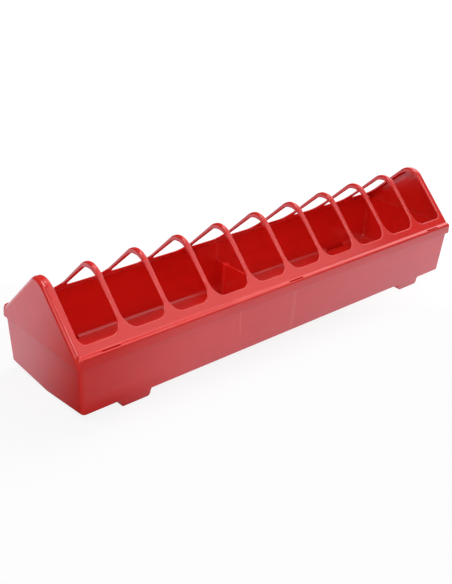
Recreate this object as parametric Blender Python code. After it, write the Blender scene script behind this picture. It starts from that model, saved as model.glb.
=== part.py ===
# Linear feed trough for chicks: a moulded trough and a moulded grille lid that clips on to it.
# Metres, +Z up. X runs along the trough. The origin is on the ground under the middle, between the feet.

import math

import bmesh
import bpy
from mathutils import Vector

# Lid: overall sizes
LENGTH = 0.5000                 # over the flat gable faces
WIDTH = 0.1210                  # over the skirt, at the ledge
SKIRT_DEPTH = 0.01078           # ledge down to the skirt's lower edge
SKIRT_FLARE = 0.00033           # how much wider each side is at the skirt's lower edge
SKIRT_WALL = 0.0015             # thickness of the skirt
PANEL_WALL = 0.0020             # thickness of panels, ledge and gables
LEDGE_WIDTH = 0.00442           # flat ledge between skirt and sloped panel
LEDGE_ROUND = 0.0016            # rounding of the ledge's outer edge
RIDGE_RADIUS = 0.0172           # outer radius over the top of gables and bars
GABLE_ROUND = 0.0045            # rounding of the lid's ends

# Lid: bars and open bays
BARS = 9                        # arched bars across the opening
END_BAY = 0.05336               # gable face to the centre of the first bar
BAR_WIDTH = 0.0051              # bar measured along X
BAR_CROWN = 0.0053              # thickness of a bar at its top
BAR_FOOT = 0.0030               # upright thickness of a bar where it meets the panel
PANEL_BAND = 0.0066             # panel left between a bay's lower edge and the ledge
GABLE_STRIP = 0.0090            # strip left between the gable face and the first bay
BAY_CORNER = 0.0110             # corner radius of a bay at a bar
BAY_END_CORNER = 0.0055         # corner radius of a bay at the gable
RIM_ROUND = 0.0014              # rounding of the upper edge of every bay
RIM_UNDER = 0.0006              # chamfer of the lower edge of every bay

# Lid: slots and snap noses
SLOT_OFFSET = 0.2172            # outer slots from the middle
SLOT_LENGTH = 0.0193
SLOT_WIDTH = 0.0016
SLOT_SHY = 0.00005              # slot's outer side in front of the skirt's inner face
NOSE_LENGTH = 0.0180            # snap nose under each slot
NOSE_HEIGHT = 0.0030
NOSE_PROUD = 0.0008

# Trough
WALL_DEPTH = 0.04646            # wall's lower edge up to the skirt
SIDE_SET_BACK = 0.00175         # trough side inside the skirt's outer face
END_SET_BACK = 0.0012           # trough end inside the gable face
SIDE_DRAFT = 0.0023             # how much each side leans in over its depth
END_DRAFT = 0.00425             # how much each end leans in over its depth
KEEL_DROP = 0.00520             # fall of the V bottom from side to middle
KEEL_FADE = 0.0120              # height over which the keel's fall fades out in the end walls
TROUGH_WALL = 0.0022            # thickness of floor and walls
RIM_WALL = 0.0016               # thickness of the rim inside the lid
END_SWEEP = 0.0020              # outer radius between end wall and bottom
SIDE_SWEEP = 0.0012             # outer radius between side wall and bottom
INNER_SWEEP = 0.0042            # inner radius between the walls and the floor
CORNER_ROUND = 0.0032           # radius of the upright corners
FIT_GAP = 0.0003                # clearance between the two mouldings

# Trough: feet and cross wall
FOOT_OFFSET = 0.1897            # foot centres from the middle
FOOT_DEPTH = 0.00665            # foot below the wall's lower edge
FOOT_TOP = 0.0327               # foot length at the wall
FOOT_TAPER = 0.0013             # how much each foot end leans in
FOOT_REACH = 0.0085             # foot measured across the trough
FOOT_ROUND = 0.0026             # rounding of the foot's lower ends
FOOT_SET_BACK = 0.00005         # foot's outer face behind the wall's
FOOT_WALL = 0.0022              # thickness round the hollow of a foot
DIVIDER_HEIGHT = 0.0353         # top of the cross wall above the wall's lower edge
DIVIDER_WALL = 0.0020
BOSS_OFFSET = 0.0410            # ejector bosses on the cross wall, from the middle
BOSS_RADIUS = 0.0035
BOSS_PROUD = 0.0002             # boss above the cross wall's top

# Facets
CORNER_STEPS = 4                # a bay's rounded corner
ARCH_STEPS = 6                  # over the top of a bar
LEG_STEPS = 3                   # along a bar's straight leg
BAY_EDGE_STEPS = 2              # a bay's straight lower edge
RIM_STEPS = 2                   # rounding of a bay's upper edge
END_STEPS = 3                   # rounding of the lid's ends
ROUND_STEPS = 3                 # trough corners
SWEEP_STEPS = 5                 # rounding between wall and bottom
OVERLAP = 0.0010                # how deep a joined shape starts inside its neighbour
WELD = 0.000002                 # points closer than this are one point

# Levels, from the ground up
Z_WALL = FOOT_DEPTH
Z_SKIRT = Z_WALL + WALL_DEPTH
Z_LEDGE = Z_SKIRT + SKIRT_DEPTH
Z_UNDER_LEDGE = Z_LEDGE - PANEL_WALL
Z_RIM = Z_UNDER_LEDGE - FIT_GAP
Z_SHOULDER = Z_SKIRT - FIT_GAP

# The roof section: a slope at 45 degrees that runs into an arc over the ridge
HALF_LENGTH = LENGTH / 2
HALF_WIDTH = WIDTH / 2
DIAGONAL = math.sqrt(0.5)
SLOPE_FOOT = HALF_WIDTH - LEDGE_WIDTH
SLOPE_SUM = SLOPE_FOOT + Z_LEDGE
ARC_CENTRE = SLOPE_SUM - RIDGE_RADIUS / DIAGONAL
ARC_REACH = RIDGE_RADIUS * DIAGONAL
MITRE = math.tan(math.radians(22.5))

# The bays, seen from above
BAY_HALF = SLOPE_FOOT - PANEL_BAND
BAND_LINE = SLOPE_FOOT - PANEL_BAND / 2
BAR_PITCH = 2 * (HALF_LENGTH - END_BAY) / (BARS - 1)
END_LINE = HALF_LENGTH - GABLE_ROUND
GABLE_WALL_UPRIGHT = PANEL_WALL / DIAGONAL


def clear_scene():
    for old in list(bpy.data.objects):
        bpy.data.objects.remove(old, do_unlink=True)


def plastic(name, colour, roughness):
    material = bpy.data.materials.new(name)
    material.use_nodes = True
    shader = material.node_tree.nodes["Principled BSDF"]
    shader.inputs["Base Color"].default_value = colour
    shader.inputs["Roughness"].default_value = roughness
    shader.inputs["Metallic"].default_value = 0.0
    return material


def new_object(name, bm, material=None):
    bmesh.ops.remove_doubles(bm, verts=bm.verts, dist=WELD)
    bmesh.ops.recalc_face_normals(bm, faces=bm.faces)
    mesh = bpy.data.meshes.new(name)
    bm.to_mesh(mesh)
    bm.free()
    made = bpy.data.objects.new(name, mesh)
    bpy.context.scene.collection.objects.link(made)
    if material:
        mesh.materials.append(material)
    return made


def as_tool(made):
    made.hide_render = True
    made.display_type = 'WIRE'
    return made


def boolean(target, tool, operation):
    step = target.modifiers.new(tool.name, 'BOOLEAN')
    step.operation = operation
    step.object = tool
    step.solver = 'EXACT'


def roof_top(y):
    # Height of the roof's outer face above the ground at the distance y from the middle.
    reach = abs(y)
    if reach > ARC_REACH:
        return SLOPE_SUM - reach
    return ARC_CENTRE + math.sqrt(RIDGE_RADIUS ** 2 - reach ** 2)


def roof_depth(y):
    # Upright thickness: the bars are heaviest over the top and thin down to the panel.
    share = min(abs(y) / BAY_HALF, 1.0)
    return max(BAR_CROWN - (BAR_CROWN - BAR_FOOT) * share ** 1.5, GABLE_WALL_UPRIGHT)


def roof_under(y):
    if abs(y) >= BAY_HALF:
        return roof_top(y) - GABLE_WALL_UPRIGHT
    return roof_top(y) - roof_depth(y)


def steps(first, last, count):
    return [first + (last - first) * i / count for i in range(count + 1)]


def leg_line(start):
    # Stations across the roof from -start to +start: leg, arch and leg.
    arch = [RIDGE_RADIUS * math.sin(turn) for turn in steps(-math.pi / 4, math.pi / 4, ARCH_STEPS)]
    leg = steps(-start, -ARC_REACH, LEG_STEPS)[:-1]
    return leg + arch + [-y for y in reversed(leg)]


def bay_outline(left, right, left_corner, right_corner, grow):
    # One bay seen from above, anticlockwise from its lower left, grown outwards by grow.
    low = -BAY_HALF
    points = [(x, low - grow) for x in steps(left + left_corner, right - right_corner, BAY_EDGE_STEPS)]

    def corner(cx, cy, radius, start):
        turns = steps(start, start + math.pi / 2, CORNER_STEPS)
        reach = radius + grow
        return [(cx + reach * math.cos(t), cy + reach * math.sin(t)) for t in turns[1:]]

    points += corner(right - right_corner, low + right_corner, right_corner, -math.pi / 2)
    points += [(right + grow, y) for y in leg_line(BAY_HALF - right_corner)[1:]]
    points += corner(right - right_corner, -low - right_corner, right_corner, 0.0)
    points += [(x, -low + grow) for x in steps(right - right_corner, left + left_corner, BAY_EDGE_STEPS)[1:]]
    points += corner(left + left_corner, -low - left_corner, left_corner, math.pi / 2)
    points += [(left - grow, -y) for y in leg_line(BAY_HALF - left_corner)[1:]]
    points += corner(left + left_corner, low + left_corner, left_corner, math.pi)[:-1]
    return points


def path_round(first, middle, last):
    # Points along the bent path from first over middle to last, as many as in a bay's rounded corner.
    half = CORNER_STEPS // 2
    points = [first.lerp(middle, i / half) for i in range(1, half + 1)]
    points += [middle.lerp(last, i / half) for i in range(1, half + 1)]
    return [(point.x, point.y) for point in points]


def cell_outline(left, right, left_corner, right_corner, cell_left, cell_right):
    # The box round one bay, with one point for every point of the bay's outline.
    low = -BAND_LINE
    inner_left = left + left_corner
    inner_right = right - right_corner
    right_start = BAY_HALF - right_corner
    left_start = BAY_HALF - left_corner
    box = {
        "front left": Vector((cell_left, low)),
        "front right": Vector((cell_right, low)),
        "rear right": Vector((cell_right, -low)),
        "rear left": Vector((cell_left, -low)),
    }
    points = [(x, low) for x in steps(inner_left, inner_right, BAY_EDGE_STEPS)]
    points += path_round(Vector((inner_right, low)), box["front right"], Vector((cell_right, -right_start)))
    points += [(cell_right, y) for y in leg_line(right_start)[1:]]
    points += path_round(Vector((cell_right, right_start)), box["rear right"], Vector((inner_right, -low)))
    points += [(x, -low) for x in steps(inner_right, inner_left, BAY_EDGE_STEPS)[1:]]
    points += path_round(Vector((inner_left, -low)), box["rear left"], Vector((cell_left, left_start)))
    points += [(cell_left, -y) for y in leg_line(left_start)[1:]]
    points += path_round(Vector((cell_left, -left_start)), box["front left"], Vector((inner_left, low)))[:-1]
    return points


def skin(bm, first, second, closed=True):
    # Quads between two rows of points with the same count.
    rows = [[bm.verts.new(p) for p in row] for row in (first, second)]
    count = len(first)
    for i in range(count if closed else count - 1):
        j = (i + 1) % count
        bm.faces.new((rows[0][i], rows[0][j], rows[1][j], rows[1][i]))


def add_bay(bm, index):
    # Bay number index, counted from the low end: its rounded rim, its wall and the roof skin round it.
    first_bar = -BAR_PITCH * (BARS - 1) / 2
    last = BARS
    cell_left = -END_LINE if index == 0 else first_bar + (index - 1) * BAR_PITCH
    cell_right = END_LINE if index == last else first_bar + index * BAR_PITCH
    left = -HALF_LENGTH + GABLE_STRIP if index == 0 else cell_left + BAR_WIDTH / 2
    right = HALF_LENGTH - GABLE_STRIP if index == last else cell_right - BAR_WIDTH / 2
    left_corner = BAY_END_CORNER if index == 0 else BAY_CORNER
    right_corner = BAY_END_CORNER if index == last else BAY_CORNER
    shape = (left, right, left_corner, right_corner)
    cell = cell_outline(*shape, cell_left, cell_right)
    rows = [[(x, y, roof_top(y)) for x, y in cell]]
    for turn in reversed(steps(0.0, math.pi / 2, RIM_STEPS)):
        grow = RIM_ROUND * (1 - math.cos(turn))
        drop = RIM_ROUND * (1 - math.sin(turn))
        rows.append([(x, y, roof_top(y) - drop) for x, y in bay_outline(*shape, grow)])
    rows.append([(x, y, roof_under(y) + RIM_UNDER) for x, y in bay_outline(*shape, 0.0)])
    rows.append([(x, y, roof_under(y)) for x, y in bay_outline(*shape, RIM_UNDER)])
    rows.append([(x, y, roof_under(y)) for x, y in cell])
    for upper, lower in zip(rows, rows[1:]):
        skin(bm, upper, lower)
    return cell


def outer_section(inset, side_line):
    # Points (y, z) of the lid's outer section, shrunk by inset; the lower edge keeps its level.
    rounding = max(LEDGE_ROUND - inset, LEDGE_ROUND * 0.15)
    edge = HALF_WIDTH - inset
    level = Z_LEDGE - inset
    half = [(edge + SKIRT_FLARE, Z_SKIRT), (edge, level - rounding)]
    half.append((edge - rounding * (1 - DIAGONAL), level - rounding * (1 - DIAGONAL)))
    half.append((edge - rounding, level))
    half.append((SLOPE_FOOT - MITRE * inset, level))
    return mirrored(half, side_line, roof_top, inset)


def inner_section(side_line):
    # The inner skin: skirt, underside of the ledge and underside of the roof. Its ends are square.
    edge = HALF_WIDTH - SKIRT_WALL
    under_foot = SLOPE_SUM - GABLE_WALL_UPRIGHT - Z_UNDER_LEDGE
    half = [(edge + SKIRT_FLARE, Z_SKIRT), (edge, Z_UNDER_LEDGE), (under_foot, Z_UNDER_LEDGE)]
    return mirrored(half, side_line, roof_under, 0.0)


def mirrored(half, side_line, roof, inset):
    over = []
    for y in side_line:
        lean = max(-DIAGONAL, min(DIAGONAL, y / RIDGE_RADIUS))
        over.append((y - lean * inset, roof(y) - math.sqrt(1 - lean ** 2) * inset))
    return [(-y, z) for y, z in half] + over + [(y, z) for y, z in reversed(half)]


def side_line_of(cell, x):
    # The cell's points on the line X = x, from front to rear.
    found = sorted({round(p[1], 9) for p in cell if abs(p[0] - x) < 1e-7})
    return found


def add_end(bm, sign, side_line):
    # The rounded end and flat gable of both skins, for the end in the direction sign.
    outer_rows = []
    for turn in steps(0.0, math.pi / 2, END_STEPS):
        x = sign * (END_LINE + GABLE_ROUND * math.sin(turn))
        section = outer_section(GABLE_ROUND * (1 - math.cos(turn)), side_line)
        outer_rows.append([(x, y, z) for y, z in section])
    section = inner_section(side_line)
    inner_rows = [[(sign * x, y, z) for y, z in section] for x in (END_LINE, HALF_LENGTH - PANEL_WALL)]
    for rows in (outer_rows, inner_rows):
        for one, two in zip(rows, rows[1:]):
            skin(bm, one, two, closed=False)
        bm.faces.new([bm.verts.new(p) for p in rows[-1]])
    # Lower edge of the end wall, between the two skins.
    edge = [row[0] for row in outer_rows] + [row[-1] for row in reversed(outer_rows)]
    edge += [row[-1] for row in inner_rows] + [row[0] for row in reversed(inner_rows)]
    bm.faces.new([bm.verts.new(p) for p in edge])
    return outer_rows[0], inner_rows[0]


def add_long_faces(bm, low_rows, high_rows, cells):
    # Ledge, skirt and lower panel: long faces from end to end, on both sides and in both skins.
    front_x = sorted({round(x, 9) for cell in cells for x, y in cell if abs(y + BAND_LINE) < 1e-7})
    # A half section has 5 points outside and 3 inside before it reaches the roof.
    kinds = ((0, 5, roof_top), (1, 3, roof_under))
    for skin_index, band, roof in kinds:
        low = low_rows[skin_index]
        high = high_rows[skin_index]
        for side in (1, -1):
            near = low if side == 1 else low[::-1]
            far = high if side == 1 else high[::-1]
            for i in range(band - 1):
                bm.faces.new([bm.verts.new(p) for p in (near[i], near[i + 1], far[i + 1], far[i])])
            y = -side * BAND_LINE
            line = [(x, y, roof(y)) for x in front_x]
            bm.faces.new([bm.verts.new(p) for p in line + [far[band - 1], near[band - 1]]])
    for side in (0, -1):
        ring = (low_rows[0][side], high_rows[0][side], high_rows[1][side], low_rows[1][side])
        bm.faces.new([bm.verts.new(p) for p in ring])


def add_prism(bm, outline, low, high):
    # An upright prism on a closed outline.
    lower = [(x, y, low) for x, y in outline]
    upper = [(x, y, high) for x, y in outline]
    skin(bm, lower, upper)
    bm.faces.new([bm.verts.new(p) for p in lower])
    bm.faces.new([bm.verts.new(p) for p in upper])


def slot_outline(cx, cy):
    # A slot with round ends.
    radius = SLOT_WIDTH / 2
    reach = SLOT_LENGTH / 2 - radius
    turns = steps(-math.pi / 2, math.pi / 2, ROUND_STEPS)
    right = [(cx + reach + radius * math.cos(t), cy + radius * math.sin(t)) for t in turns]
    left = [(2 * cx - x, 2 * cy - y) for x, y in right]
    return right + left


def slot_places():
    return [(x, side) for x in (-SLOT_OFFSET, 0.0, SLOT_OFFSET) for side in (-1, 1)]


def make_lid(material):
    bm = bmesh.new()
    cells = [add_bay(bm, i) for i in range(BARS + 1)]
    low_rows = add_end(bm, -1, side_line_of(cells[0], -END_LINE))
    high_rows = add_end(bm, 1, side_line_of(cells[-1], END_LINE))
    add_long_faces(bm, low_rows, high_rows, cells)
    lid = new_object("grille_lid", bm, material)

    slots = bmesh.new()
    noses = bmesh.new()
    inner_face = HALF_WIDTH - SKIRT_WALL
    slot_line = inner_face - SLOT_WIDTH / 2 - SLOT_SHY
    nose_top = Z_UNDER_LEDGE - NOSE_HEIGHT
    for x, side in slot_places():
        add_prism(slots, slot_outline(x, side * slot_line), Z_UNDER_LEDGE - OVERLAP, Z_LEDGE + OVERLAP)
        low, high = sorted((side * (inner_face - NOSE_PROUD), side * (inner_face + OVERLAP)))
        half = NOSE_LENGTH / 2
        foot = [(x - half, low), (x + half, low), (x + half, high), (x - half, high)]
        add_prism(noses, foot, nose_top - NOSE_HEIGHT, nose_top)
    boolean(lid, as_tool(new_object("slot_cutter", slots)), 'DIFFERENCE')
    boolean(lid, as_tool(new_object("nose_blocks", noses)), 'UNION')
    return lid


def v_shift(y, height):
    # Fall of the V bottom: full at the floor, fading out a little way up the wall.
    outer_foot = HALF_WIDTH - SIDE_SET_BACK - SIDE_DRAFT
    fade = max(0.0, 1 - height / KEEL_FADE)
    return KEEL_DROP * max(0.0, 1 - abs(y) / outer_foot) * fade


def ring(half_x, half_y, radius, z, height):
    # A rounded rectangle seen from above, with a point in the middle of each end for the keel.
    points = []
    centres = ((1, -1, -math.pi / 2), (1, 1, 0.0), (-1, 1, math.pi / 2), (-1, -1, math.pi))
    for number, (sx, sy, start) in enumerate(centres):
        for t in steps(start, start + math.pi / 2, ROUND_STEPS):
            x = sx * (half_x - radius) + radius * math.cos(t)
            y = sy * (half_y - radius) + radius * math.sin(t)
            points.append((x, y, z - v_shift(y, height)))
        if number in (0, 2):
            drop = v_shift(0.0, height)
            points.append((sx * (half_x - drop * END_DRAFT / WALL_DEPTH), 0.0, z - drop))
    return points


def sweep_inset(height, radius):
    # How far a rounded foot of a wall stands in at this height above the floor.
    if height >= radius:
        return 0.0
    return radius - math.sqrt(radius ** 2 - (radius - height) ** 2)


def wall_rings(bottom, top, corner, end_sweep, side_sweep, floor):
    # Rings from the shoulder down to the floor; bottom and top are (half length, half width).
    span = Z_SHOULDER - Z_WALL
    turns = steps(0.0, math.pi / 2, SWEEP_STEPS)
    heights = [span - floor] + [max(end_sweep, side_sweep) * (1 - math.sin(turn)) for turn in turns]
    rows = []
    for height in heights:
        share = (height + floor) / span
        half_x = bottom[0] + (top[0] - bottom[0]) * share - sweep_inset(height, end_sweep)
        half_y = bottom[1] + (top[1] - bottom[1]) * share - sweep_inset(height, side_sweep)
        rows.append(ring(half_x, half_y, corner, Z_WALL + floor + height, height))
    return rows


def close_floor(bm, row):
    # Two flat halves that meet on the keel.
    for sign in (-1, 1):
        bm.faces.new([bm.verts.new(p) for p in row if p[1] * sign >= 0])


def tapered_block(bm, centre, side, inside, low, high):
    # A block under one wall that follows the wall's lean; inside is how far it stays within the foot's faces.
    outer_foot = HALF_WIDTH - SIDE_SET_BACK - SIDE_DRAFT
    lean = SIDE_DRAFT / WALL_DEPTH
    verts = bmesh.ops.create_cube(bm, size=1.0)["verts"]
    for vert in verts:
        z = high if vert.co.z > 0 else low
        below = Z_WALL - z
        reach = FOOT_TOP / 2 - inside - FOOT_TAPER * max(below, 0.0) / FOOT_DEPTH
        outer = outer_foot - lean * below - FOOT_SET_BACK - inside
        inner = outer_foot + lean * below - FOOT_REACH + inside
        x = centre + math.copysign(reach, vert.co.x)
        vert.co = Vector((x, side * (outer if vert.co.y * side > 0 else inner), z))
    return verts


def round_ends(bm, verts, low, radius):
    # Rounds the two lower edges at the block's ends.
    edges = {edge for vert in verts for edge in vert.link_edges}
    ends = [e for e in edges if all(abs(v.co.z - low) < WELD for v in e.verts)]
    ends = [e for e in ends if abs(e.verts[0].co.x - e.verts[1].co.x) < WELD]
    bmesh.ops.bevel(bm, geom=ends, offset=radius, segments=ROUND_STEPS, profile=0.5,
                    affect='EDGES', material=-1)


def make_feet():
    feet = bmesh.new()
    hollows = bmesh.new()
    for centre in (-FOOT_OFFSET, FOOT_OFFSET):
        for side in (-1, 1):
            block = tapered_block(feet, centre, side, 0.0, 0.0, Z_WALL + OVERLAP)
            round_ends(feet, block, 0.0, FOOT_ROUND)
            block = tapered_block(hollows, centre, side, FOOT_WALL, FOOT_WALL, Z_WALL + TROUGH_WALL + INNER_SWEEP)
            round_ends(hollows, block, FOOT_WALL, FOOT_ROUND - FOOT_WALL)
    return feet, hollows


def make_divider():
    # The cross wall, cut to the V floor, and its two round bosses.
    bm = bmesh.new()
    lean = SIDE_DRAFT / WALL_DEPTH
    foot = HALF_WIDTH - SIDE_SET_BACK - SIDE_DRAFT - OVERLAP
    low = Z_WALL + TROUGH_WALL / 2
    top = Z_WALL + DIVIDER_HEIGHT
    wall = [(foot + lean * DIVIDER_HEIGHT, top), (foot, low), (0.0, low - KEEL_DROP), (-foot, low)]
    wall.append((-foot - lean * DIVIDER_HEIGHT, top))
    half = DIVIDER_WALL / 2
    near = [(-half, y, z) for y, z in wall]
    far = [(half, y, z) for y, z in wall]
    skin(bm, near, far)
    bm.faces.new([bm.verts.new(p) for p in near])
    bm.faces.new([bm.verts.new(p) for p in far])
    return bm


def make_bosses():
    bm = bmesh.new()
    low = Z_WALL + TROUGH_WALL / 2 - KEEL_DROP * (1 - BOSS_OFFSET / HALF_WIDTH)
    high = Z_WALL + DIVIDER_HEIGHT + BOSS_PROUD
    for side in (-1, 1):
        made = bmesh.ops.create_cone(bm, cap_ends=True, segments=16, radius1=BOSS_RADIUS, radius2=BOSS_RADIUS,
                                     depth=high - low)
        bmesh.ops.translate(bm, verts=made["verts"], vec=(0.0, side * BOSS_OFFSET, (low + high) / 2))
    return bm


def make_trough(material):
    inner_face = HALF_WIDTH - SKIRT_WALL
    rim = (HALF_LENGTH - PANEL_WALL - FIT_GAP, inner_face - NOSE_PROUD - FIT_GAP)
    top = (HALF_LENGTH - END_SET_BACK, HALF_WIDTH - SIDE_SET_BACK)
    bottom = (top[0] - END_DRAFT, top[1] - SIDE_DRAFT)
    rim_in = (rim[0] - RIM_WALL, rim[1] - RIM_WALL)
    bottom_in = (bottom[0] - TROUGH_WALL, bottom[1] - TROUGH_WALL)
    inner_corner = CORNER_ROUND - RIM_WALL / 2

    bm = bmesh.new()
    outer = [ring(*rim, CORNER_ROUND, Z_RIM, WALL_DEPTH), ring(*rim, CORNER_ROUND, Z_SHOULDER, WALL_DEPTH)]
    outer += wall_rings(bottom, top, CORNER_ROUND, END_SWEEP, SIDE_SWEEP, 0.0)
    inner = [ring(*rim_in, inner_corner, Z_RIM, WALL_DEPTH)]
    inner += wall_rings(bottom_in, rim_in, inner_corner, INNER_SWEEP, INNER_SWEEP, TROUGH_WALL)
    for rows in (outer, inner):
        for one, two in zip(rows, rows[1:]):
            skin(bm, one, two)
        close_floor(bm, rows[-1])
    skin(bm, outer[0], inner[0])
    trough = new_object("trough", bm, material)

    feet, hollows = make_feet()
    boolean(trough, as_tool(new_object("foot_blocks", feet)), 'UNION')
    boolean(trough, as_tool(new_object("foot_hollows", hollows)), 'DIFFERENCE')
    boolean(trough, as_tool(new_object("cross_wall", make_divider())), 'UNION')
    boolean(trough, as_tool(new_object("ejector_bosses", make_bosses())), 'UNION')
    return trough


clear_scene()
red = plastic("red_polypropylene", (0.52, 0.022, 0.016, 1.0), 0.33)
make_trough(red)
make_lid(red)
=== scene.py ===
# A red feed trough for chicks, dressed for a plain studio picture: a moulded trough and the grille lid on it.
# Metres, +Z up. X runs along the trough, and the camera looks at its front from the left.
import math

import bmesh
import bpy
from mathutils import Matrix, Vector


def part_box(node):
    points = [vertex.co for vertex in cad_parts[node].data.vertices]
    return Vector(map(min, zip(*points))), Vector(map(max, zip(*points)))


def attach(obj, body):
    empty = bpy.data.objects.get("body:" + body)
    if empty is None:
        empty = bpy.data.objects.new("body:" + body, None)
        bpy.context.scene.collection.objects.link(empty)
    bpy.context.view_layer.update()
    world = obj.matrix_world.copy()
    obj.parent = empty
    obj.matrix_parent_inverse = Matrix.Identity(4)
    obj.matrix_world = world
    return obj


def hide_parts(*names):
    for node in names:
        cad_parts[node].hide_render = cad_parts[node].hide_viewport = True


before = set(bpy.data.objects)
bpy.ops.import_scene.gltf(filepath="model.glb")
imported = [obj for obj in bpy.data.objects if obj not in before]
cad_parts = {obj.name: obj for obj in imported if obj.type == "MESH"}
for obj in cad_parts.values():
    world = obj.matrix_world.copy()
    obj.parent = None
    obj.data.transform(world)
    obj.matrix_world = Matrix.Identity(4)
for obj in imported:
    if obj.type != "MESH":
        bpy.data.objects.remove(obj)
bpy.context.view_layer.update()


# ---- The view -------------------------------------------------------------------------------------------
# A camera with a short telephoto lens stands to the left of the trough's front and looks down on it.
# It leans over slightly, and its lens is shifted a little off the middle of the picture.

view_azimuth = math.radians(-42.58)
view_elevation = math.radians(26.96)
view_roll = math.radians(3.14)
view_distance = 0.86399
looked_at = Vector((-0.06148, 0.0, 0.04203))

towards_camera = Vector((
    math.sin(view_azimuth) * math.cos(view_elevation),
    -math.cos(view_azimuth) * math.cos(view_elevation),
    math.sin(view_elevation),
))
level = Vector((0.0, 0.0, 1.0)).cross(towards_camera).normalized()
upright = towards_camera.cross(level)
to_right = math.cos(view_roll) * level + math.sin(view_roll) * upright
to_top = -math.sin(view_roll) * level + math.cos(view_roll) * upright

camera = bpy.data.objects.new("camera", bpy.data.cameras.new("camera"))
camera.data.lens = 54.87
camera.data.sensor_width = 36.0
camera.data.shift_x = 0.03238
camera.data.shift_y = 0.00365
turn = Matrix((to_right, to_top, towards_camera)).transposed().to_4x4()
camera.matrix_world = Matrix.Translation(looked_at + towards_camera * view_distance) @ turn
bpy.context.scene.collection.objects.link(camera)
bpy.context.scene.camera = camera


# ---- The trough -----------------------------------------------------------------------------------------
# The lower moulding: a long tub of red polypropylene, moulded in one shot. Its walls lean out for the mould,
# its floor falls to a keel, and four hollow feet, a cross wall and a thin rim under the lid belong to it.

trough_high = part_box("trough")[1]
lid_low, lid_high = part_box("grille_lid")

foot_depth = 0.00665
fit_gap = 0.0003
shoulder_level = lid_low.z - fit_gap
rim_level = trough_high.z
wall_foot = foot_depth
wall_span = shoulder_level - wall_foot
shoulder_overhang = 0.0008
top_half = (trough_high.x - shoulder_overhang, trough_high.y - shoulder_overhang)
side_draft = 0.0023 - shoulder_overhang
end_draft = 0.00425 - shoulder_overhang
bottom_half = (top_half[0] - end_draft, top_half[1] - side_draft)
end_lean = end_draft / wall_span
rim_half = (0.2477, 0.0579)
rim_wall = 0.0016
floor_wall = 0.0022
keel_drop = 0.0052
keel_fade = 0.012
end_sweep = 0.0020
side_sweep = 0.0012
inner_sweep = 0.0042
corner_round = 0.0032
edge_round = 0.0004
sweep_steps = 8
let_in = 0.001
weld = 0.000002


def keel_fall(y, height):
    # Fall of the V floor at the distance y from the middle: full at the floor, none a little way up the wall.
    return keel_drop * max(0.0, 1 - abs(y) / bottom_half[1]) * max(0.0, 1 - height / keel_fade)


def sweep_inset(height, radius):
    # How far the rounded foot of a wall stands in at this height.
    if height >= radius:
        return 0.0
    return radius - math.sqrt(radius ** 2 - (radius - height) ** 2)


def carry_on(bm, loop, half_x, half_y, z, height):
    # Draws the open edge loop on to a new ring of the given half sizes and level.
    old = {vert for edge in loop for vert in edge.verts}
    span_x = max(vert.co.x for vert in old)
    span_y = max(vert.co.y for vert in old)
    made = bmesh.ops.extrude_edge_only(bm, edges=loop)["geom"]
    ring = {item for item in made if isinstance(item, bmesh.types.BMVert)}
    for vert in ring:
        x = vert.co.x * half_x / span_x
        y = vert.co.y * half_y / span_y
        fall = keel_fall(y, height)
        if abs(y) < weld:
            x = math.copysign(half_x - fall * end_lean, x)
        vert.co = Vector((x, y, z - fall))
    return [item for item in made if isinstance(item, bmesh.types.BMEdge) and set(item.verts) <= ring]


def sweep_heights(radius):
    return [radius * (1 - math.cos(math.pi / 2 * i / sweep_steps)) for i in range(1, sweep_steps + 1)]


def new_piece(name, bm):
    mesh = bpy.data.meshes.new(name)
    bm.to_mesh(mesh)
    bm.free()
    made = bpy.data.objects.new(name, mesh)
    bpy.context.scene.collection.objects.link(made)
    return made


def closed_tool(name, bm):
    # A cutting or joining shape with its faces pointing outwards.
    bmesh.ops.remove_doubles(bm, verts=bm.verts, dist=weld)
    bmesh.ops.recalc_face_normals(bm, faces=bm.faces)
    return new_piece(name, bm)


def join_solids(solid, steps):
    # Cuts or joins each tool in turn, then puts the result in the solid's own mesh and clears the tools away.
    for tool, operation in steps:
        step = solid.modifiers.new(tool.name, 'BOOLEAN')
        step.operation = operation
        step.object = tool
        step.solver = 'EXACT'
    bpy.context.view_layer.update()
    evaluated = solid.evaluated_get(bpy.context.evaluated_depsgraph_get())
    shaped = bpy.data.meshes.new_from_object(evaluated)
    shaped.name = solid.name
    solid.modifiers.clear()
    solid.data = shaped
    for tool, operation in steps:
        bpy.data.objects.remove(tool, do_unlink=True)


def round_edges(bm, edges, radius, segments):
    # Rounds edges, and marks the middle of each rounding so that the plastic can be rubbed there.
    rub = bm.verts.layers.float.get("rub") or bm.verts.layers.float.new("rub")
    made = bmesh.ops.bevel(bm, geom=list(edges), offset=radius, segments=segments, profile=0.5,
                           affect='EDGES', material=-1)
    rounded = set(made["faces"])
    for vert in made["verts"]:
        if vert.is_valid and all(face in rounded for face in vert.link_faces):
            vert[rub] = 1.0


# The tub starts as a flat floor of two halves that meet on the keel, and its walls are drawn up from it.
bm = bmesh.new()
bmesh.ops.create_grid(bm, x_segments=1, y_segments=2, size=1.0)
for vert in bm.verts:
    vert.co = Vector((vert.co.x * (bottom_half[0] - end_sweep), vert.co.y * (bottom_half[1] - side_sweep), 0.0))
corners = [vert for vert in bm.verts if abs(vert.co.y) > weld]
bmesh.ops.bevel(bm, geom=corners, offset=corner_round, segments=6, profile=0.5, affect='VERTICES', material=-1)
for vert in bm.verts:
    vert.co.z = wall_foot - keel_fall(vert.co.y, 0.0)
    if abs(vert.co.y) < weld:
        vert.co.x -= math.copysign(keel_drop * end_lean, vert.co.x)
loop = [edge for edge in bm.edges if edge.is_boundary]


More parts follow.
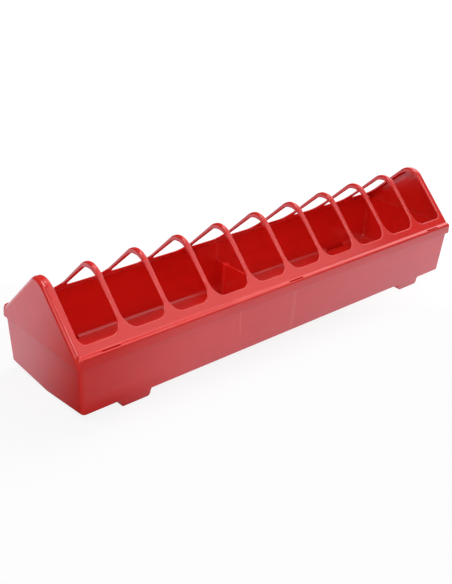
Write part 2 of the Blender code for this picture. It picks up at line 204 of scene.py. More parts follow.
def draw_wall(bm, loop, bottom, top, floor, sweeps, upward):
    # One skin of the wall, between the floor and the top ring. The floor is a height above the wall's foot.
    heights = [0.0] + sweep_heights(max(sweeps)) + [wall_span - floor]
    for height in (heights if upward else reversed(heights)):
        share = (height + floor) / wall_span
        half_x = bottom[0] + (top[0] - bottom[0]) * share - sweep_inset(height, sweeps[0])
        half_y = bottom[1] + (top[1] - bottom[1]) * share - sweep_inset(height, sweeps[1])
        if upward and height == 0.0:
            continue
        loop = carry_on(bm, loop, half_x, half_y, wall_foot + floor + height, height)
    return loop


no_keel = keel_fade
loop = draw_wall(bm, loop, bottom_half, top_half, 0.0, (end_sweep, side_sweep), True)
loop = carry_on(bm, loop, *rim_half, shoulder_level, no_keel)
loop = carry_on(bm, loop, *rim_half, rim_level, no_keel)
rim_inside = (rim_half[0] - rim_wall, rim_half[1] - rim_wall)
floor_inside = (bottom_half[0] - floor_wall, bottom_half[1] - floor_wall)
loop = carry_on(bm, loop, *rim_inside, rim_level, no_keel)
loop = draw_wall(bm, loop, floor_inside, rim_inside, floor_wall, (inner_sweep, inner_sweep), False)
bmesh.ops.holes_fill(bm, edges=loop, sides=0)
keel_ends = [vert for vert in {v for e in loop for v in e.verts} if abs(vert.co.y) < weld]
bmesh.ops.connect_verts(bm, verts=keel_ends)
bmesh.ops.recalc_face_normals(bm, faces=bm.faces)
trough = new_piece("trough_moulding", bm)

# The feet: tapered blocks flush with the side walls, with rounded ends and a small fillet under the floor.
foot_offset = 0.1897
foot_half = 0.0327 / 2
foot_taper = 0.0013
foot_reach = 0.0085
foot_round = 0.0026
foot_fillet = 0.0008
foot_wall = 0.0022
foot_root = 0.0003
flush = 0.00004
side_lean = side_draft / wall_span


def lean_with_wall(verts, side, inside):
    # Puts the outer face of an upright block on the wall's lean, and the inner face at the foot's reach.
    for vert in verts:
        below = wall_foot - vert.co.z
        if vert.co.y > 0:
            y = bottom_half[1] - side_lean * below - flush - inside
        else:
            y = bottom_half[1] + side_lean * below - foot_reach + inside
        vert.co.y = side * y


def foot_outline(bm, inside, low, high, fillet):
    # The foot seen from the front, rounded at its lower ends and flared under the floor.
    reach = foot_half - inside
    half = [(reach - foot_taper, low), (reach, wall_foot)]
    if fillet:
        half.append((reach + fillet, wall_foot))
    half.append((reach, high))
    points = half + [(-x, z) for x, z in reversed(half)]
    verts = [bm.verts.new((x, -1.0, z)) for x, z in points]
    face = bm.faces.new(verts)
    lower = [verts[0], verts[-1]]
    bmesh.ops.bevel(bm, geom=lower, offset=foot_round - inside, segments=6, profile=0.5,
                    affect='VERTICES', material=-1)
    if fillet:
        inner = [verts[1], verts[-2]]
        bmesh.ops.bevel(bm, geom=inner, offset=fillet * 0.98, segments=4, profile=0.5,
                        affect='VERTICES', material=-1)


def add_foot(bm, centre, side, inside, low, high, fillet):
    part = bmesh.new()
    foot_outline(part, inside, low, high, fillet)
    made = bmesh.ops.extrude_face_region(part, geom=list(part.faces))["geom"]
    bmesh.ops.translate(part, verts=[v for v in made if isinstance(v, bmesh.types.BMVert)], vec=(0.0, 2.0, 0.0))
    lean_with_wall(part.verts, side, inside)
    bmesh.ops.translate(part, verts=part.verts, vec=(centre, 0.0, 0.0))
    bmesh.ops.recalc_face_normals(part, faces=part.faces)
    mesh = bpy.data.meshes.new("foot")
    part.to_mesh(mesh)
    part.free()
    bm.from_mesh(mesh)
    bpy.data.meshes.remove(mesh)


feet = bmesh.new()
hollows = bmesh.new()
for centre in (-foot_offset, foot_offset):
    for side in (-1, 1):
        add_foot(feet, centre, side, 0.0, 0.0, wall_foot + side_sweep + foot_root, foot_fillet)
        add_foot(hollows, centre, side, foot_wall, foot_wall, wall_foot + floor_wall + inner_sweep, 0.0)

# The cross wall at mid length, with the round marks where the mould's ejector pins push.
divider_top = wall_foot + 0.0353
divider_wall = 0.0020
divider_draft = 0.0003
divider_reach = bottom_half[1] - let_in
boss_offset = 0.0410
boss_radius = 0.0035
boss_proud = 0.0002
boss_round = 0.00015

divider = bmesh.new()
bmesh.ops.create_cube(divider, size=1.0)
bmesh.ops.bisect_plane(divider, geom=divider.verts[:] + divider.edges[:] + divider.faces[:],
                       plane_co=(0, 0, 0), plane_no=(0, 1, 0))
divider_low = wall_foot + floor_wall / 2
for vert in divider.verts:
    at_top = vert.co.z > 0
    half = divider_wall / 2 + (-divider_draft if at_top else divider_draft) / 2
    reach = divider_reach + (side_lean * (divider_top - wall_foot) if at_top else 0.0)
    fall = keel_drop if not at_top and abs(vert.co.y) < weld else 0.0
    vert.co = Vector((math.copysign(half, vert.co.x), 2 * reach * vert.co.y,
                      divider_top if at_top else divider_low - fall))

bosses = bmesh.new()
boss_low = wall_foot + floor_wall / 2 - keel_drop * (1 - boss_offset / bottom_half[1])
boss_high = divider_top + boss_proud
for side in (-1, 1):
    made = bmesh.ops.create_cone(bosses, cap_ends=True, segments=40, radius1=boss_radius, radius2=boss_radius,
                                 depth=boss_high - boss_low)
    bmesh.ops.translate(bosses, verts=made["verts"], vec=(0.0, side * boss_offset, (boss_low + boss_high) / 2))

join_solids(trough, [
    (closed_tool("foot_blocks", feet), 'UNION'),
    (closed_tool("foot_hollows", hollows), 'DIFFERENCE'),
    (closed_tool("cross_wall", divider), 'UNION'),
    (closed_tool("ejector_bosses", bosses), 'UNION'),
])

bm = bmesh.new()
bm.from_mesh(trough.data)
bmesh.ops.remove_doubles(bm, verts=bm.verts, dist=weld)


def crisp(edge):
    # True for an outward edge between faces that turn by more than 50 degrees.
    return (len(edge.link_faces) == 2 and edge.is_convex
            and edge.link_faces[0].normal.angle(edge.link_faces[1].normal, 0.0) > math.radians(50))


def at_level(vert, level):
    return abs(vert.co.z - level) < weld


rim_edges = [edge for edge in bm.edges if crisp(edge)
             and min(vert.co.z for vert in edge.verts) > shoulder_level - weld]
round_edges(bm, rim_edges, edge_round, 3)
cross_top = [edge for edge in bm.edges if crisp(edge)
             and all(at_level(vert, divider_top) and abs(vert.co.x) < divider_wall for vert in edge.verts)
             and abs(edge.verts[0].co.x - edge.verts[1].co.x) < weld]
round_edges(bm, cross_top, edge_round, 3)
boss_tops = [edge for edge in bm.edges if crisp(edge)
             and all(at_level(vert, boss_high) for vert in edge.verts)]
round_edges(bm, boss_tops, boss_round, 2)
bm.to_mesh(trough.data)
bm.free()


def smooth_piece(piece, sharp_degrees):
    # Smooth shading that keeps the flat faces flat, and the edges that turn by more than sharp_degrees sharp.
    bm = bmesh.new()
    bm.from_mesh(piece.data)
    for face in bm.faces:
        face.smooth = True
    for edge in bm.edges:
        edge.smooth = len(edge.link_faces) == 2 and edge.calc_face_angle(0.0) < math.radians(sharp_degrees)
    bm.to_mesh(piece.data)
    bm.free()
    keep = piece.modifiers.new("flat_faces", 'WEIGHTED_NORMAL')
    keep.keep_sharp = True
    keep.weight = 50


smooth_piece(trough, 38)


# The plastic: pigmented polypropylene with a satin skin. Three effects are shared with the lid: the slightly
# streaky colour of the melt, a gloss that scuffs have dulled, and the fine grain of the mould's steel.
melt_red = (0.82, 0.0130, 0.0058, 1.0)
deep_red = (0.76, 0.0100, 0.0044, 1.0)
rubbed_red = (0.86, 0.070, 0.048, 1.0)


def add_node(tree, kind, values=None, **settings):
    node = tree.nodes.new(kind)
    for name, value in settings.items():
        setattr(node, name, value)
    for name, value in (values or {}).items():
        node.inputs[name].default_value = value
    return node


def wire(tree, *pairs):
    for source, target in pairs:
        tree.links.new(source, target)


def maths(tree, operation, first, second=None, third=None):
    # One Math node. Each term is a number or another node's output.
    node = add_node(tree, "ShaderNodeMath", operation=operation)
    for place, term in enumerate((first, second, third)):
        if isinstance(term, (int, float)):
            node.inputs[place].default_value = term
        elif term is not None:
            tree.links.new(term, node.inputs[place])
    return node.outputs[0]


def ramp_between(tree, value, low, high, low_result=0.0, high_result=1.0):
    # Eases from low_result to high_result as the value goes from low to high.
    node = add_node(tree, "ShaderNodeMapRange", {1: low, 2: high, 3: low_result, 4: high_result},
                    interpolation_type='SMOOTHSTEP')
    tree.links.new(value, node.inputs[0])
    return node.outputs[0]


def grains(tree, place, per_metre, detail=2.0, drawn=(1.0, 1.0, 1.0), turn=0.0):
    # Noise at a real size, drawn out along the axes where drawn is small.
    lay = add_node(tree, "ShaderNodeMapping", {"Scale": drawn, "Rotation": (0.0, 0.0, turn)})
    noise = add_node(tree, "ShaderNodeTexNoise", {"Scale": per_metre, "Detail": detail, "Roughness": 0.55})
    wire(tree, (place, lay.inputs["Vector"]), (lay.outputs["Vector"], noise.inputs["Vector"]))
    return noise.outputs["Fac"]


def new_group(name, takes, gives):
    # An effect with named sockets, each a (name, kind, starting value).
    group = bpy.data.node_groups.new(name, "ShaderNodeTree")
    for way, sockets in (('INPUT', takes), ('OUTPUT', gives)):
        for title, kind, value in sockets:
            socket = group.interface.new_socket(name=title, in_out=way, socket_type="NodeSocket" + kind)
            if value is not None:
                socket.default_value = value
    return group, add_node(group, "NodeGroupInput"), add_node(group, "NodeGroupOutput")


def scratches(tree, place):
    # Hair scratches in two directions, in patches where hands and beaks have been.
    patches = ramp_between(tree, grains(tree, place, 16.0), 0.50, 0.66)
    along = ramp_between(tree, grains(tree, place, 900.0, 1.0, (0.03, 1.0, 1.0), 0.5), 0.66, 0.74)
    across = ramp_between(tree, grains(tree, place, 760.0, 1.0, (1.0, 0.03, 0.6), 0.3), 0.68, 0.76)
    return maths(tree, 'MULTIPLY', maths(tree, 'MAXIMUM', along, across), patches)


def rubbing(tree, place):
    # How far an edge is rubbed: the middle of each rounding, here more and there less.
    edge = add_node(tree, "ShaderNodeAttribute", attribute_name="rub")
    patches = ramp_between(tree, grains(tree, place, 55.0), 0.38, 0.68)
    return maths(tree, 'MULTIPLY', edge.outputs["Fac"], patches)


melt, taken, given = new_group("melt_colour", [
    ("Position", "Vector", None), ("Melt", "Color", melt_red), ("Deep", "Color", deep_red),
    ("Rubbed", "Color", rubbed_red), ("Marks", "Float", 0.0)], [("Color", "Color", None)])
place = taken.outputs["Position"]
cloud = grains(melt, place, 9.0, 3.0)
streaks = grains(melt, place, 70.0, 2.0, (0.12, 1.0, 1.0))
blend = maths(melt, 'MULTIPLY_ADD', streaks, 0.4, maths(melt, 'MULTIPLY', cloud, 0.6))
share = ramp_between(melt, blend, 0.38, 0.62)
tint = add_node(melt, "ShaderNodeMix", data_type='RGBA')
rubbed = add_node(melt, "ShaderNodeMix", data_type='RGBA')
pale = maths(melt, 'ADD', maths(melt, 'MULTIPLY', rubbing(melt, place), 0.30),
             maths(melt, 'MULTIPLY', taken.outputs["Marks"], 0.75))
pale = maths(melt, 'ADD', pale, maths(melt, 'MULTIPLY', scratches(melt, place), 0.10))
wire(melt, (share, tint.inputs[0]), (taken.outputs["Melt"], tint.inputs[6]),
     (taken.outputs["Deep"], tint.inputs[7]), (pale, rubbed.inputs[0]), (tint.outputs[2], rubbed.inputs[6]),
     (taken.outputs["Rubbed"], rubbed.inputs[7]), (rubbed.outputs[2], given.inputs["Color"]))

gloss, taken, given = new_group("satin_gloss", [
    ("Position", "Vector", None), ("Satin", "Float", 0.36), ("Marks", "Float", 0.0)],
    [("Roughness", "Float", None)])
place = taken.outputs["Position"]
breath = maths(gloss, 'MULTIPLY_ADD', grains(gloss, place, 26.0, 3.0), 0.10, taken.outputs["Satin"])
rough = maths(gloss, 'MULTIPLY_ADD', scratches(gloss, place), 0.16, maths(gloss, 'SUBTRACT', breath, 0.05))
rough = maths(gloss, 'MULTIPLY_ADD', rubbing(gloss, place), -0.07, rough)
wire(gloss, (maths(gloss, 'MULTIPLY_ADD', taken.outputs["Marks"], -0.05, rough), given.inputs["Roughness"]))

skin, taken, given = new_group("mould_grain", [
    ("Position", "Vector", None), ("Grain", "Float", 0.35), ("Marks", "Float", 0.0)],
    [("Height", "Float", None)])
place = taken.outputs["Position"]
sparks = maths(skin, 'MULTIPLY', grains(skin, place, 1500.0), taken.outputs["Grain"])
peel = maths(skin, 'MULTIPLY_ADD', grains(skin, place, 240.0), 0.35, sparks)
waves = maths(skin, 'MULTIPLY_ADD', grains(skin, place, 34.0, 1.0, (0.3, 1.0, 1.0)), 0.9, peel)
cuts = maths(skin, 'MULTIPLY_ADD', scratches(skin, place), -0.25, waves)
wire(skin, (maths(skin, 'ADD', cuts, taken.outputs["Marks"]), given.inputs["Height"]))


def moulded_plastic(name, satin, grain, coat, coat_satin):
    # The plastic with its three effects joined up. The coat is the skin that the polished mould leaves, and
    # the caller adds the piece's own marks.
    material = bpy.data.materials.new(name)
    material.use_nodes = True
    tree = material.node_tree
    shader = tree.nodes["Principled BSDF"]
    for socket, value in (("IOR", 1.49), ("Specular Tint", (1.0, 0.93, 1.0, 1.0)), ("Coat Weight", coat),
                          ("Coat Roughness", coat_satin), ("Coat IOR", 1.55)):
        shader.inputs[socket].default_value = value
    position = add_node(tree, "ShaderNodeTexCoord").outputs["Object"]
    colour = add_node(tree, "ShaderNodeGroup", node_tree=melt)
    roughness = add_node(tree, "ShaderNodeGroup", {"Satin": satin}, node_tree=gloss)
    height = add_node(tree, "ShaderNodeGroup", {"Grain": grain}, node_tree=skin)
    bump = add_node(tree, "ShaderNodeBump", {"Strength": 0.5, "Distance": 0.00012})
    wire(tree, *((position, effect.inputs["Position"]) for effect in (colour, roughness, height)),
         (colour.outputs["Color"], shader.inputs["Base Color"]),
         (roughness.outputs["Roughness"], shader.inputs["Roughness"]),
         (height.outputs["Height"], bump.inputs["Height"]), (bump.outputs["Normal"], shader.inputs["Normal"]))
    return material, tree, position, (colour, roughness, height)


# The trough's own marks: the sink streak where the cross wall shrank behind the side walls, and a short wavy
# flow line in the front wall.
trough_plastic, tree, position, effects = moulded_plastic("trough_red_polypropylene", 0.38, 0.35, 1.0, 0.17)
split = add_node(tree, "ShaderNodeSeparateXYZ")
tree.links.new(position, split.inputs[0])
x, y, z = split.outputs
on_side = ramp_between(tree, maths(tree, 'ABSOLUTE', y), 0.0555, 0.0560)
sink = ramp_between(tree, maths(tree, 'ABSOLUTE', maths(tree, 'SUBTRACT', x, 0.001)), 0.0002, 0.0034, 0.65, 0.0)
sink = maths(tree, 'MULTIPLY', sink, ramp_between(tree, z, 0.008, 0.014))
wander = maths(tree, 'MULTIPLY_ADD', maths(tree, 'SINE', maths(tree, 'MULTIPLY', z, 170.0)), 0.0009, 0.0705)
flow = ramp_between(tree, maths(tree, 'ABSOLUTE', maths(tree, 'ADD', x, wander)), 0.0002, 0.0013, 1.0, 0.0)
flow = maths(tree, 'MULTIPLY', flow, ramp_between(tree, z, 0.024, 0.028))
flow = maths(tree, 'MULTIPLY', flow, ramp_between(tree, y, -0.04, -0.05))
marks = maths(tree, 'MULTIPLY', maths(tree, 'MAXIMUM', sink, flow), on_side)
wire(tree, *((marks, effect.inputs["Marks"]) for effect in effects))

trough.data.materials.clear()
trough.data.materials.append(trough_plastic)
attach(trough, "trough_body")
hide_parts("trough")


# ---- The grille lid -------------------------------------------------------------------------------------
# The upper moulding, in the same red polypropylene: two gables, sloped panels and nine arched bars over ten
# open bays. It clips over the trough's rim with six small noses, each under a slot in the ledge.

half_length = lid_high.x
skirt_foot = lid_low.z
ridge = lid_high.z
skirt_flare = 0.00033
half_width = lid_high.y - skirt_flare
skirt_depth = 0.01078
ledge = skirt_foot + skirt_depth
ledge_width = 0.00442
ridge_radius = 0.0172
gable_round = 0.0045
ledge_round = 0.0024
skirt_foot_round = 0.00035
slot_round = 0.0003
crease_fillet = 0.0015
panel_wall = 0.0020
skirt_wall = 0.0015
bar_crown = 0.0053
panel_band = 0.0066
ridge_steps = 12

diagonal = math.sqrt(0.5)
slope_foot = half_width - ledge_width
arc_centre = ridge - ridge_radius
arc_reach = ridge_radius * diagonal
bay_half = slope_foot - panel_band
under_ledge = ledge - panel_wall
panel_upright = panel_wall / diagonal


def section_solid(outline, centre, steps, turn, length):
    # Draws half a section in the plane across the trough, turns its last point over the ridge, mirrors it
    # and draws the closed section out along the trough.
    bm = bmesh.new()
    verts = [bm.verts.new((-length / 2, y, z)) for y, z in outline]
    for one, two in zip(verts, verts[1:]):
        bm.edges.new((one, two))
    bmesh.ops.spin(bm, geom=[verts[-1]], cent=(-length / 2, 0.0, centre), axis=(1.0, 0.0, 0.0),
                   angle=turn, steps=steps, use_merge=False)
    top = max(bm.verts, key=lambda vert: vert.co.z)
    top.co.y = 0.0
    bmesh.ops.mirror(bm, geom=bm.verts[:] + bm.edges[:], axis='Y', merge_dist=weld)
    bmesh.ops.remove_doubles(bm, verts=bm.verts, dist=weld)
    feet = [vert for vert in bm.verts if len(vert.link_edges) == 1]
    bm.edges.new(feet)
    bmesh.ops.contextual_create(bm, geom=bm.edges[:])
    made = bmesh.ops.extrude_face_region(bm, geom=bm.faces[:])["geom"]
    far = [item for item in made if isinstance(item, bmesh.types.BMVert)]
    bmesh.ops.translate(bm, verts=far, vec=(length, 0.0, 0.0))
    bmesh.ops.recalc_face_normals(bm, faces=bm.faces)
    return bm


front_half = [(-half_width - skirt_flare, skirt_foot), (-half_width, ledge), (-slope_foot, ledge),
              (-arc_reach, arc_centre + arc_reach)]
bm = section_solid(front_half, arc_centre, ridge_steps, -math.pi / 4, 2 * half_length)


def at_end(vert):
    return abs(abs(vert.co.x) - half_length) < weld


gable_edges = [edge for edge in bm.edges if all(at_end(vert) for vert in edge.verts)
               and edge.verts[0].co.x * edge.verts[1].co.x > 0
               and max(vert.co.z for vert in edge.verts) > skirt_foot + weld]
round_edges(bm, gable_edges, gable_round, 7)
foot_edges = [edge for edge in bm.edges if all(at_level(vert, skirt_foot) for vert in edge.verts)]
round_edges(bm, foot_edges, skirt_foot_round, 2)


def on_mitre(edge, along_y, slack):
    # True for an edge on a long corner of the section, or on that corner's line through the rounded end.
    # along_y gives how far in the line stands where it is inset below the ledge.
    for vert in edge.verts:
        in_by = half_length - abs(vert.co.x)
        inset = ledge - vert.co.z
        if abs((half_width - abs(vert.co.y)) - along_y(inset)) > slack or inset < -weld:
            return False
        if inset > gable_round + slack or (in_by < weld and inset < gable_round - slack):
            return False
    return not all(at_end(vert) for vert in edge.verts)


mitre = math.tan(math.radians(22.5))
ledge_edges = [edge for edge in bm.edges if on_mitre(edge, lambda inset: inset, 0.00025)]
crease_edges = [edge for edge in bm.edges if on_mitre(edge, lambda inset: ledge_width + mitre * inset, 0.0001)]
round_edges(bm, ledge_edges, ledge_round, 6)
round_edges(bm, [edge for edge in crease_edges if edge.is_valid], crease_fillet, 4)
bmesh.ops.recalc_face_normals(bm, faces=bm.faces)
lid = new_piece("lid_moulding", bm)

# The hollow under the roof: skirt and ledge inside, and the bars' underside with their thick crowns.
inner_face = half_width - skirt_wall
under_foot = slope_foot + ledge - panel_upright - under_ledge
leg_foot = Vector((-bay_half, slope_foot + ledge - bay_half - panel_upright))
under_radius = 0.0180
under_centre = ridge - bar_crown - under_radius
reach = Vector((leg_foot.x, leg_foot.y - under_centre))
under_turn = math.pi / 2 - (math.acos(under_radius / reach.length) + math.atan2(reach.y, -reach.x))
tangent = (-under_radius * math.sin(under_turn), under_centre + under_radius * math.cos(under_turn))
hollow_half = [(-inner_face - 2 * skirt_flare, skirt_foot - skirt_depth), (-inner_face, under_ledge),
               (-under_foot, under_ledge), tuple(leg_foot), tangent]
hollow = section_solid(hollow_half, under_centre, ridge_steps, -under_turn, 2 * (half_length - panel_wall))

# The bays between the bars, with wide corners at the bars and small ones at the gables.
bars = 9
end_bay = 0.05336
bar_width = 0.0051
gable_strip = 0.0090
bay_corner = 0.0110
bay_end_corner = 0.0055
bar_pitch = 2 * (half_length - end_bay) / (bars - 1)
first_bar = end_bay - half_length


def add_bay(bm, low_x, high_x, low_corner, high_corner):
    part = bmesh.new()
    bmesh.ops.create_cube(part, size=1.0)
    centre = ((low_x + high_x) / 2, 0.0, (ridge + under_ledge) / 2)
    bmesh.ops.scale(part, verts=part.verts, vec=(high_x - low_x, 2 * bay_half, ridge - under_ledge + 0.004))
    bmesh.ops.translate(part, verts=part.verts, vec=centre)
    for x, radius in ((low_x, low_corner), (high_x, high_corner)):
        upright_edges = [edge for edge in part.edges if all(abs(vert.co.x - x) < weld for vert in edge.verts)
                         and abs(edge.verts[0].co.y - edge.verts[1].co.y) < weld]
        bmesh.ops.bevel(part, geom=upright_edges, offset=radius, segments=10, profile=0.5,
                        affect='EDGES', material=-1)
    mesh = bpy.data.meshes.new("bay")
    part.to_mesh(mesh)
    part.free()
    bm.from_mesh(mesh)
    bpy.data.meshes.remove(mesh)


bays = bmesh.new()
for number in range(bars + 1):
    low_x = gable_strip - half_length if number == 0 else first_bar + (number - 1) * bar_pitch + bar_width / 2
    high_x = half_length - gable_strip if number == bars else first_bar + number * bar_pitch - bar_width / 2
    add_bay(bays, low_x, high_x, bay_end_corner if number == 0 else bay_corner,
            bay_end_corner if number == bars else bay_corner)

# The slots in the ledge and the snap noses inside the skirt.
slot_offset = 0.2172
slot_length = 0.0193
slot_width = 0.0016
slot_shy = 0.00005
nose_length = 0.0180
nose_height = 0.0030
nose_proud = 0.0008
slot_line = inner_face - slot_width / 2 - slot_shy
nose_level = under_ledge - 1.5 * nose_height

slots = bmesh.new()
noses = bmesh.new()
for x in (-slot_offset, 0.0, slot_offset):
    for side in (-1, 1):
        part = bmesh.ops.create_cube(slots, size=1.0)["verts"]
        bmesh.ops.scale(slots, verts=part, vec=(slot_length, slot_width, 3 * panel_wall))
        bmesh.ops.translate(slots, verts=part, vec=(x, side * slot_line, ledge - panel_wall / 2))
        part = bmesh.ops.create_cube(noses, size=1.0)["verts"]
        depth = nose_proud + skirt_wall / 2
        bmesh.ops.scale(noses, verts=part, vec=(nose_length, depth, nose_height))
        nose_line = inner_face - nose_proud + depth / 2
        bmesh.ops.translate(noses, verts=part, vec=(x, side * nose_line, nose_level))
upright_edges = [edge for edge in slots.edges if abs(edge.verts[0].co.z - edge.verts[1].co.z) > panel_wall]
bmesh.ops.bevel(slots, geom=upright_edges, offset=slot_width * 0.49, segments=5, profile=0.5,
                affect='EDGES', material=-1)
lead_in = [edge for edge in noses.edges if all(vert.co.z < nose_level and abs(vert.co.y) < inner_face
                                               for vert in edge.verts)]
bmesh.ops.bevel(noses, geom=lead_in, offset=nose_proud * 0.7, segments=3, profile=0.5,
                affect='EDGES', material=-1)

join_solids(lid, [
    (closed_tool("roof_hollow", hollow), 'DIFFERENCE'),
    (closed_tool("bay_cutters", bays), 'DIFFERENCE'),
    (closed_tool("slot_cutters", slots), 'DIFFERENCE'),
    (closed_tool("snap_noses", noses), 'UNION'),
])

rim_round = 0.0020
rim_under = 0.0006
bm = bmesh.new()
bm.from_mesh(lid.data)
bmesh.ops.remove_doubles(bm, verts=bm.verts, dist=weld)


def bay_wall(face):
    centre = face.calc_center_median()
    return (abs(face.normal.z) < 0.01 and abs(centre.y) < bay_half + weld
            and abs(centre.x) < half_length - gable_strip + weld and centre.z > under_ledge)


def rim_edges_of(bm, upward):
    found = []
    for edge in bm.edges:
        if len(edge.link_faces) != 2:
            continue
        walls = [bay_wall(face) for face in edge.link_faces]
        if walls[0] == walls[1]:
            continue
        roof = edge.link_faces[1] if walls[0] else edge.link_faces[0]
        if roof.normal.z * upward > 0.3:
            found.append(edge)
    return found


def roof_level(y):
    # Level of the roof's outer face at the distance y from the middle.
    if abs(y) > arc_reach:
        return slope_foot + ledge - abs(y)
    return arc_centre + math.sqrt(ridge_radius ** 2 - y ** 2)


def lay_roof_flat(bm, way):
    # Lays the whole roof flat, so that the bays' edges can be rounded evenly, or folds it up again.
    for vert in bm.verts:
        vert.co.z += way * roof_level(vert.co.y)
    bm.normal_update()


top_rims = rim_edges_of(bm, 1)
low_rims = rim_edges_of(bm, -1)
lay_roof_flat(bm, -1)
round_edges(bm, top_rims, rim_round, 5)
round_edges(bm, low_rims, rim_under, 3)
lay_roof_flat(bm, 1)
slot_rims = [edge for edge in bm.edges if crisp(edge)
             and all(abs(vert.co.z - ledge) < 0.4 * ledge_round
                     and abs(abs(vert.co.y) - slot_line) < 0.6 * slot_width for vert in edge.verts)]
round_edges(bm, slot_rims, slot_round, 2)
bm.to_mesh(lid.data)
bm.free()
smooth_piece(lid, 38)

# The lid's own mark: the fine weld line over the top of each bar, where the two streams of plastic met.
lid_plastic, tree, position, effects = moulded_plastic("lid_red_polypropylene", 0.35, 0.22, 1.0, 0.13)
split = add_node(tree, "ShaderNodeSeparateXYZ")
tree.links.new(position, split.inputs[0])
x, y, z = split.outputs
wander = maths(tree, 'MULTIPLY_ADD', grains(tree, position, 300.0), 0.0024, -0.0012)
weld_line = ramp_between(tree, maths(tree, 'ABSOLUTE', maths(tree, 'ADD', y, wander)), 0.0001, 0.0006, 1.0, 0.0)
weld_line = maths(tree, 'MULTIPLY', weld_line, ramp_between(tree, z, 0.104, 0.106))
weld_line = maths(tree, 'MULTIPLY', weld_line, -0.6)
wire(tree, (weld_line, effects[2].inputs["Marks"]))

lid.data.materials.clear()
lid.data.materials.append(lid_plastic)
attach(lid, "lid_body")
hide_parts("grille_lid")


# ---- The studio -----------------------------------------------------------------------------------------
# A white table in a white room. The key light stands high on the right and a little behind, soft boxes hang
# overhead, in front and high on the left, and the table itself throws light back on to the walls.

room_white = (1.0, 1.0, 1.0, 1.0)


def white_where_seen(tree, lit, glow, whiteness, mirrored):
    # Mixes in the glow, by the share whiteness where the camera looks at the room and by the share mirrored
    # in reflections.
    path = add_node(tree, "ShaderNodeLightPath")
    seen = maths(tree, 'MAXIMUM', path.outputs["Is Camera Ray"], path.outputs["Is Transmission Ray"])
    share = maths(tree, 'MULTIPLY', seen, whiteness)
    share = maths(tree, 'MULTIPLY_ADD', path.outputs["Is Glossy Ray"], mirrored, share)
    mix = add_node(tree, "ShaderNodeMixShader")
    wire(tree, (share, mix.inputs[0]), (lit, mix.inputs[1]), (glow, mix.inputs[2]))
    return mix.outputs[0], seen


world = bpy.data.worlds.new("white_room")
world.use_nodes = True
tree = world.node_tree
glow = tree.nodes["Background"]
glow.inputs["Color"].default_value = room_white
glow.inputs["Strength"].default_value = 1.0
lit = add_node(tree, "ShaderNodeBackground", {"Color": room_white, "Strength": 0.06})
surround = white_where_seen(tree, lit.outputs[0], glow.outputs[0], 1.0, 0.05)[0]
tree.links.new(surround, tree.nodes["World Output"].inputs["Surface"])
bpy.context.scene.world = world

table = bmesh.new()
bmesh.ops.create_circle(table, cap_ends=True, segments=64, radius=4.0)
table = new_piece("table", table)
table_white = bpy.data.materials.new("table_white")
table_white.use_nodes = True
tree = table_white.node_tree
surface = tree.nodes["Principled BSDF"]
surface.inputs["Base Color"].default_value = (0.88, 0.88, 0.88, 1.0)
surface.inputs["Roughness"].default_value = 0.9
glow = add_node(tree, "ShaderNodeEmission")
on_table = add_node(tree, "ShaderNodeTexCoord").outputs["Object"]
distance = add_node(tree, "ShaderNodeVectorMath", operation='LENGTH')
split = add_node(tree, "ShaderNodeSeparateXYZ")
wire(tree, (on_table, distance.inputs[0]), (on_table, split.inputs[0]))
whiteness = ramp_between(tree, distance.outputs["Value"], 0.40, 0.80, 0.87, 1.0)
surround, seen = white_where_seen(tree, surface.outputs[0], glow.outputs[0], whiteness, 1.0)
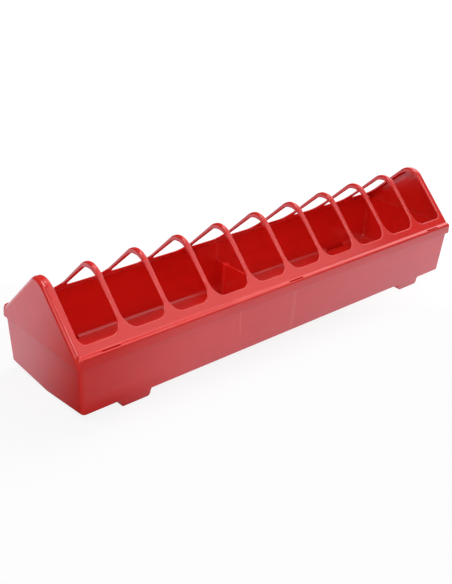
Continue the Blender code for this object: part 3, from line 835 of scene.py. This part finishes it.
# In reflections the table shows a painted pool of light and shade. Only gloss rays see the glow at this
# strength, which is painted brighter or darker by place to stand for the lit table and the trough's shadow on
# it. It fades towards the near left, the way that along measures, sooner in front of the trough than beside its
# end, and also well in front of the trough.
along = add_node(tree, "ShaderNodeVectorMath", {1: (diagonal, diagonal, 0.0)}, operation='DOT_PRODUCT')
tree.links.new(on_table, along.inputs[0])
along = along.outputs["Value"]
beside_end = ramp_between(tree, along, -0.210, -0.125, 0.02, 0.80)
in_front = ramp_between(tree, along, -0.260, -0.120, 0.07, 0.77)
painted_pool = add_node(tree, "ShaderNodeMix", data_type='FLOAT')
wire(tree, (ramp_between(tree, split.outputs["Y"], -0.085, -0.065), painted_pool.inputs[0]), (in_front, painted_pool.inputs[2]),
     (beside_end, painted_pool.inputs[3]))
# Painted reflection: more painted light in the pool further along, and less well in front of the trough.
painted_pool = maths(tree, 'ADD', painted_pool.outputs[0], ramp_between(tree, along, -0.165, 0.15, 0.0, 0.24))
painted_pool = maths(tree, 'MULTIPLY', painted_pool, ramp_between(tree, split.outputs["Y"], -0.21, -0.115, 0.50, 1.06))
# Gloss rays see the glow with a painted cool tint, which is a painted reflection colour. Camera rays see plain
# white.
painted_cool_tint = add_node(tree, "ShaderNodeMix", {6: (0.94, 0.90, 1.0, 1.0), 7: room_white}, data_type='RGBA')
wire(tree, (seen, painted_cool_tint.inputs[0]), (painted_cool_tint.outputs[2], glow.inputs["Color"]),
     (maths(tree, 'MAXIMUM', painted_pool, seen), glow.inputs["Strength"]),
     (surround, tree.nodes["Material Output"].inputs["Surface"]))
table.data.materials.append(table_white)


def softbox(name, place, target, size, level, mirrored=True):
    # A soft box whose level is the light that reaches the target, where 1 shows a colour as it is written.
    # One that isn't mirrored lights the plastic but isn't seen in its gloss.
    lamp = bpy.data.objects.new(name, bpy.data.lights.new(name, 'AREA'))
    lamp.visible_glossy = mirrored
    towards = Vector(target) - Vector(place)
    lamp.data.shape = 'RECTANGLE'
    lamp.data.size = size[0]
    lamp.data.size_y = size[1]
    lamp.data.energy = math.pi ** 2 * towards.length ** 2 * level
    lamp.location = place
    lamp.rotation_euler = towards.to_track_quat('-Z', 'Y').to_euler()
    bpy.context.scene.collection.objects.link(lamp)


softbox("key_right", (1.05, 0.45, 1.5), (0.0, 0.0, 0.0), (0.9, 0.9), 0.37, False)
softbox("key_sheen", (0.85, 0.25, 1.5), (0.0, 0.0, 0.0), (1.2, 1.2), 0.11)
softbox("right_low", (1.4, 0.5, 0.6), (0.05, 0.0, 0.0), (1.2, 1.0), 0.20)
softbox("overhead", (0.1, 0.15, 1.4), (0.0, 0.0, 0.0), (0.4, 0.4), 0.10)
softbox("front", (-0.45, -1.1, 1.0), (0.0, 0.0, 0.0), (0.8, 0.8), 0.24)
softbox("front_right", (0.68, -0.7, 1.15), (0.0, 0.0, 0.0), (0.9, 0.9), 0.10)
softbox("left", (-1.35, -0.2, 0.5), (-0.25, 0.0, 0.05), (0.7, 0.7), 0.11)
softbox("high_left", (-0.8, 0.1, 1.2), (0.0, 0.0, 0.0), (0.7, 0.5), 0.26)
bpy.context.scene.view_settings.view_transform = 'Standard'
